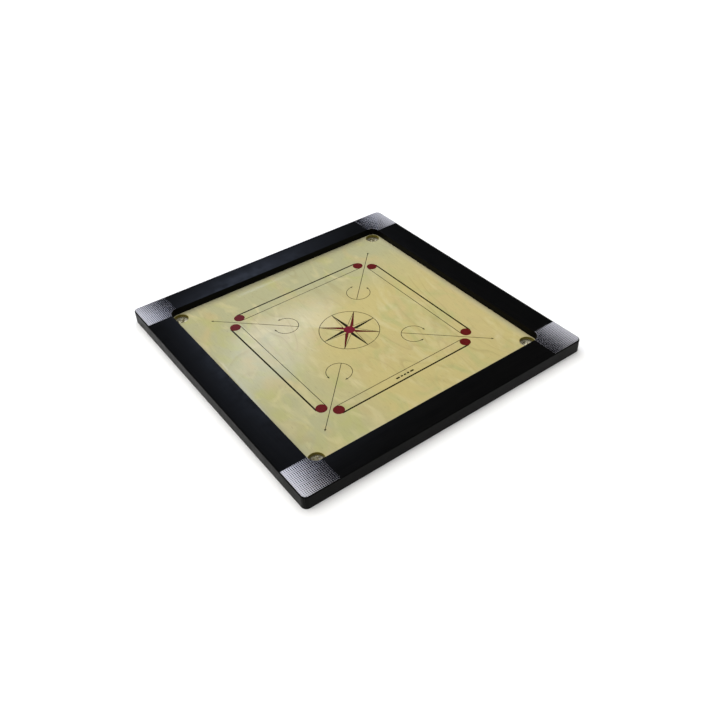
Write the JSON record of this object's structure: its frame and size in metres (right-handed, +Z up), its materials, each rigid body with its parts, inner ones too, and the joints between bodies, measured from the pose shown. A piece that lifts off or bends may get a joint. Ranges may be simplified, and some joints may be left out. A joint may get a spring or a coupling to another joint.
{
  "type": "carrom board",
  "caption": "Square carrom board: black mitred rails around a printed birch playing sheet, silver corner patches, net-hung corner pockets and battens underneath.",
  "frame": {"origin": "middle of the frame's underside, on the surface that the board stands on", "axes": "+Z up out of the playing surface; +X and +Y along the rails, so each pocket lies on a diagonal"},
  "size_m": [0.892, 0.892, 0.0385],
  "materials": {
    "black_frame": "black satin lacquer over hardwood",
    "birch_sheet": "clear gloss lacquer over pale birch ply",
    "patch_foil": "embossed silver foil laminate",
    "net_cotton": "knotted unbleached cotton twine",
    "ring_ply": "raw thin ply",
    "bare_timber": "planed bare softwood",
    "spline_ply": "raw ply",
    "steel": "bright zinc",
    "ink_black": "screen-printed ink under lacquer",
    "ink_red": "screen-printed ink under lacquer"
  },
  "bodies": {
    "root": {"playing_sheet": "birch_sheet", "frame_rail_south": "black_frame", "frame_rail_east": "black_frame", "frame_rail_north": "black_frame", "frame_rail_west": "black_frame", "corner_block_north_east": "black_frame", "corner_block_north_west": "black_frame", "corner_block_south_west": "black_frame", "corner_block_south_east": "black_frame", "corner_patch_north_east": "patch_foil", "corner_patch_north_west": "patch_foil", "corner_patch_south_west": "patch_foil", "corner_patch_south_east": "patch_foil", "pocket_net_north_east": "net_cotton", "pocket_net_north_west": "net_cotton", "pocket_net_south_west": "net_cotton", "pocket_net_south_east": "net_cotton", "net_ring_north_east": "ring_ply", "net_ring_north_west": "ring_ply", "net_ring_south_west": "ring_ply", "net_ring_south_east": "ring_ply", "sheet_strip_south": "bare_timber", "sheet_strip_east": "bare_timber", "sheet_strip_north": "bare_timber", "sheet_strip_west": "bare_timber", "batten_south": "bare_timber", "batten_east": "bare_timber", "batten_north": "bare_timber", "batten_west": "bare_timber", "mitre_spline_north_east": "spline_ply", "mitre_spline_north_west": "spline_ply", "mitre_spline_south_west": "spline_ply", "mitre_spline_south_east": "spline_ply", "strip_screw_south_1": "steel", "strip_screw_south_2": "steel", "strip_screw_south_3": "steel", "strip_screw_east_1": "steel", "strip_screw_east_2": "steel", "strip_screw_east_3": "steel", "strip_screw_north_1": "steel", "strip_screw_north_2": "steel", "strip_screw_north_3": "steel", "strip_screw_west_1": "steel", "strip_screw_west_2": "steel", "strip_screw_west_3": "steel", "net_tack_north_east_1": "steel", "net_tack_north_east_2": "steel", "net_tack_north_east_3": "steel", "net_tack_north_west_1": "steel", "net_tack_north_west_2": "steel", "net_tack_north_west_3": "steel", "net_tack_south_west_1": "steel", "net_tack_south_west_2": "steel", "net_tack_south_west_3": "steel", "net_tack_south_east_1": "steel", "net_tack_south_east_2": "steel", "net_tack_south_east_3": "steel"}
  },
  "joints": []
}
